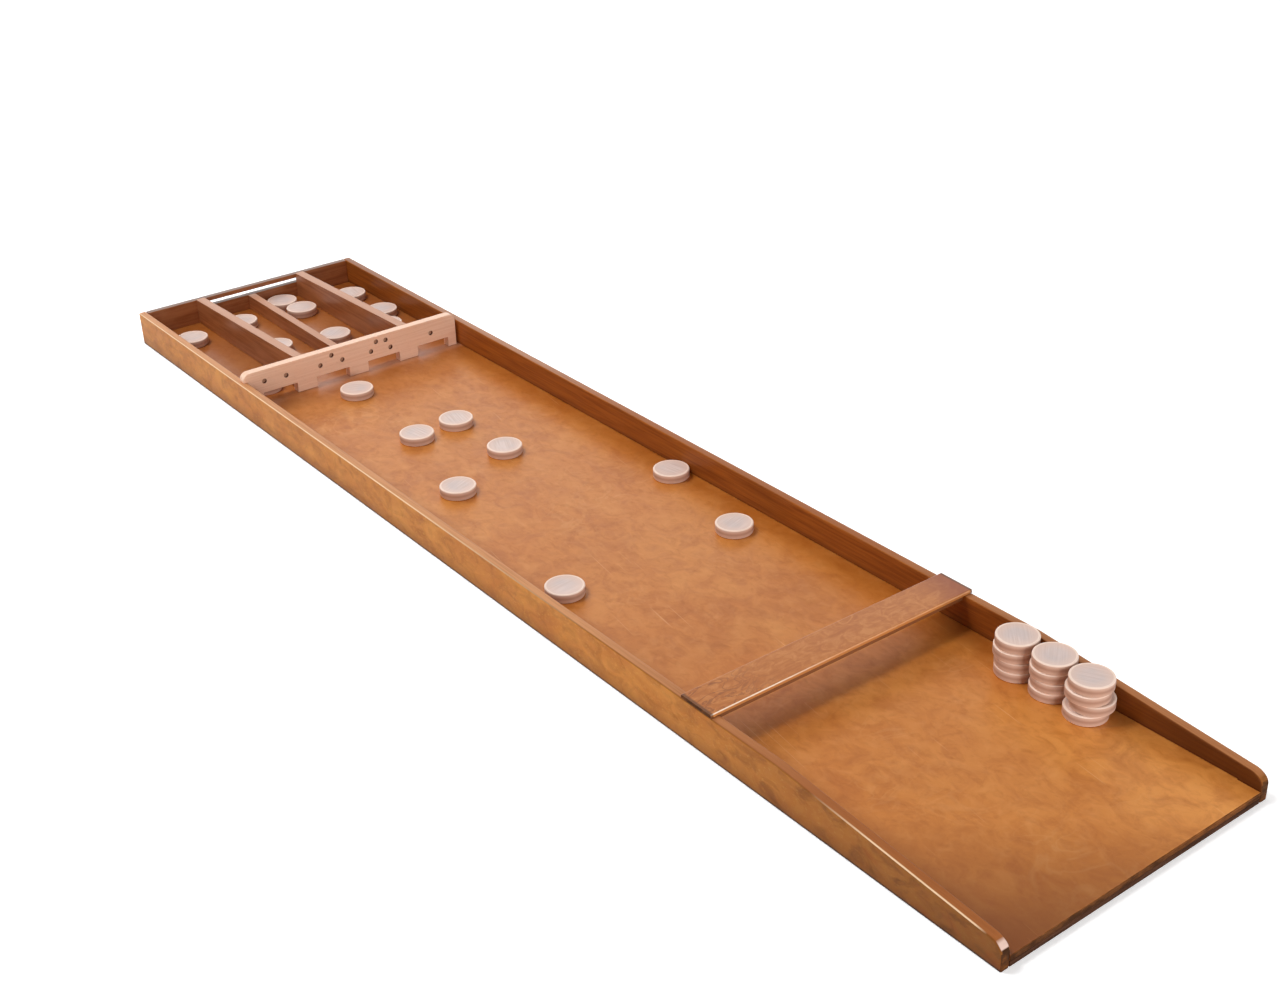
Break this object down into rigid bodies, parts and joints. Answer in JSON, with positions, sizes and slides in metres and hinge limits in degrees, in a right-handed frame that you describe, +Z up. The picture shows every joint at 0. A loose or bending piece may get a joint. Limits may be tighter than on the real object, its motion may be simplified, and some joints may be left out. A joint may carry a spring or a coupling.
{
  "type": "dutch shuffleboard",
  "caption": "Long wooden table shuffleboard with side rails, a crossbar, a bar with scoring gates in front of divided compartments, and loose round discs.",
  "frame": {"origin": "on the ground, under the middle of the board", "axes": "+Y along the board from the player's open end towards the gates and compartments, +X to the player's right, +Z up"},
  "size_m": [0.416, 2, 0.0713],
  "materials": {
    "rail": "stained beech, worn varnish",
    "floor": "varnished plywood, polished by play",
    "inner_wood": "brown stained beech, satin",
    "batten": "stained softwood",
    "crossbar": "stained beech, glossy varnish",
    "gate_bar": "pale beech, varnished",
    "disc": "pale turned hardwood, waxed"
  },
  "bodies": {
    "board": {"floor_panel": "floor", "left_rail": "rail", "right_rail": "rail", "rear_wall": "inner_wood", "left_divider": "inner_wood", "middle_divider": "inner_wood", "right_divider": "inner_wood", "front_batten": "batten", "front_middle_batten": "batten", "rear_middle_batten": "batten", "rear_batten": "batten"},
    "gate_bar": {"gate_bar": "gate_bar"},
    "crossbar": {"crossbar_plank": "crossbar", "crossbar_batten": "crossbar"},
    "field_disc_1": {"field_disc_1": "disc"},
    "field_disc_2": {"field_disc_2": "disc"},
    "field_disc_3": {"field_disc_3": "disc"},
    "field_disc_4": {"field_disc_4": "disc"},
    "field_disc_5": {"field_disc_5": "disc"},
    "field_disc_6": {"field_disc_6": "disc"},
    "field_disc_7": {"field_disc_7": "disc"},
    "field_disc_8": {"field_disc_8": "disc"},
    "scored_disc_1": {"scored_disc_1": "disc"},
    "scored_disc_10": {"scored_disc_10": "disc"},
    "scored_disc_2": {"scored_disc_2": "disc"},
    "scored_disc_3": {"scored_disc_3": "disc"},
    "scored_disc_4": {"scored_disc_4": "disc"},
    "scored_disc_5": {"scored_disc_5": "disc"},
    "scored_disc_6": {"scored_disc_6": "disc"},
    "scored_disc_7": {"scored_disc_7": "disc"},
    "scored_disc_8": {"scored_disc_8": "disc"},
    "scored_disc_9": {"scored_disc_9": "disc"},
    "stack_1_disc_1": {"stack_1_disc_1": "disc"},
    "stack_1_disc_2": {"stack_1_disc_2": "disc"},
    "stack_1_disc_3": {"stack_1_disc_3": "disc"},
    "stack_1_disc_4": {"stack_1_disc_4": "disc"},
    "stack_2_disc_1": {"stack_2_disc_1": "disc"},
    "stack_2_disc_2": {"stack_2_disc_2": "disc"},
    "stack_2_disc_3": {"stack_2_disc_3": "disc"},
    "stack_2_disc_4": {"stack_2_disc_4": "disc"},
    "stack_3_disc_1": {"stack_3_disc_1": "disc"},
    "stack_3_disc_2": {"stack_3_disc_2": "disc"},
    "stack_3_disc_3": {"stack_3_disc_3": "disc"},
    "stack_3_disc_4": {"stack_3_disc_4": "disc"}
  },
  "joints": [
    {"name": "gate_bar_lift", "type": "slide", "parent": "board", "child": "gate_bar", "axis": [0, 0, 1], "range_m": [0, 0.08]},
    {"name": "crossbar_lift", "type": "slide", "parent": "board", "child": "crossbar", "axis": [0, 0, 1], "range_m": [0, 0.06]},
    {"name": "field_disc_1_slide", "type": "slide", "parent": "board", "child": "field_disc_1", "axis": [0, 1, 0], "range_m": [-0.15, 0.165]},
    {"name": "field_disc_2_slide", "type": "slide", "parent": "board", "child": "field_disc_2", "axis": [0, 1, 0], "range_m": [-0.15, 0.14]},
    {"name": "field_disc_3_slide", "type": "slide", "parent": "board", "child": "field_disc_3", "axis": [0, 1, 0], "range_m": [-0.07, 0.24]},
    {"name": "field_disc_4_slide", "type": "slide", "parent": "board", "child": "field_disc_4", "axis": [0, 1, 0], "range_m": [-0.7, 0.07]},
    {"name": "field_disc_5_slide", "type": "slide", "parent": "board", "child": "field_disc_5", "axis": [0, 1, 0], "range_m": [-0.28, 0.15]},
    {"name": "field_disc_6_slide", "type": "slide", "parent": "board", "child": "field_disc_6", "axis": [0, 1, 0], "range_m": [-0.5, 0.27]},
    {"name": "field_disc_7_slide", "type": "slide", "parent": "board", "child": "field_disc_7", "axis": [0, 1, 0], "range_m": [-0.13, 0.59]},
    {"name": "field_disc_8_slide", "type": "slide", "parent": "board", "child": "field_disc_8", "axis": [0, 1, 0], "range_m": [-0.38, 0.13]},
    {"name": "scored_disc_1_slide", "type": "slide", "parent": "board", "child": "scored_disc_1", "axis": [0, 1, 0], "range_m": [-0.15, 0.05]},
    {"name": "scored_disc_10_slide", "type": "slide", "parent": "board", "child": "scored_disc_10", "axis": [0, 1, 0], "range_m": [-0.09, 0.01]},
    {"name": "scored_disc_2_slide", "type": "slide", "parent": "board", "child": "scored_disc_2", "axis": [0, 1, 0], "range_m": [-0.004, 0.09]},
    {"name": "scored_disc_3_slide", "type": "slide", "parent": "board", "child": "scored_disc_3", "axis": [0, 1, 0], "range_m": [-0.08, 0.04]},
    {"name": "scored_disc_4_slide", "type": "slide", "parent": "board", "child": "scored_disc_4", "axis": [0, 1, 0], "range_m": [-0.11, 0.08]},
    {"name": "scored_disc_5_slide", "type": "slide", "parent": "board", "child": "scored_disc_5", "axis": [1, 0, 0], "range_m": [-0.008, 0.015]},
    {"name": "scored_disc_6_slide", "type": "slide", "parent": "board", "child": "scored_disc_6", "axis": [0, 1, 0], "range_m": [-0.085, 0]},
    {"name": "scored_disc_7_slide", "type": "slide", "parent": "board", "child": "scored_disc_7", "axis": [0, 1, 0], "range_m": [-0.11, 0.08]},
    {"name": "scored_disc_8_slide", "type": "slide", "parent": "board", "child": "scored_disc_8", "axis": [0, 1, 0], "range_m": [-0.045, 0.05]},
    {"name": "scored_disc_9_slide", "type": "slide", "parent": "board", "child": "scored_disc_9", "axis": [0, 1, 0], "range_m": [-0.01, 0.045]},
    {"name": "stack_1_disc_1_slide", "type": "slide", "parent": "board", "child": "stack_1_disc_1", "axis": [1, 0, 0], "range_m": [-0.12, 0]},
    {"name": "stack_1_disc_2_lift", "type": "slide", "parent": "stack_1_disc_1", "child": "stack_1_disc_2", "axis": [0, 0, 1], "range_m": [0, 0.04]},
    {"name": "stack_1_disc_3_lift", "type": "slide", "parent": "stack_1_disc_2", "child": "stack_1_disc_3", "axis": [0, 0, 1], "range_m": [0, 0.04]},
    {"name": "stack_1_disc_4_lift", "type": "slide", "parent": "stack_1_disc_3", "child": "stack_1_disc_4", "axis": [0, 0, 1], "range_m": [0, 0.04]},
    {"name": "stack_2_disc_1_slide", "type": "slide", "parent": "board", "child": "stack_2_disc_1", "axis": [1, 0, 0], "range_m": [-0.12, 0]},
    {"name": "stack_2_disc_2_lift", "type": "slide", "parent": "stack_2_disc_1", "child": "stack_2_disc_2", "axis": [0, 0, 1], "range_m": [0, 0.04]},
    {"name": "stack_2_disc_3_lift", "type": "slide", "parent": "stack_2_disc_2", "child": "stack_2_disc_3", "axis": [0, 0, 1], "range_m": [0, 0.04]},
    {"name": "stack_2_disc_4_lift", "type": "slide", "parent": "stack_2_disc_3", "child": "stack_2_disc_4", "axis": [0, 0, 1], "range_m": [0, 0.04]},
    {"name": "stack_3_disc_1_slide", "type": "slide", "parent": "board", "child": "stack_3_disc_1", "axis": [1, 0, 0], "range_m": [-0.12, 0]},
    {"name": "stack_3_disc_2_lift", "type": "slide", "parent": "stack_3_disc_1", "child": "stack_3_disc_2", "axis": [0, 0, 1], "range_m": [0, 0.04]},
    {"name": "stack_3_disc_3_lift", "type": "slide", "parent": "stack_3_disc_2", "child": "stack_3_disc_3", "axis": [0, 0, 1], "range_m": [0, 0.04]},
    {"name": "stack_3_disc_4_lift", "type": "slide", "parent": "stack_3_disc_3", "child": "stack_3_disc_4", "axis": [0, 0, 1], "range_m": [0, 0.04]}
  ]
}
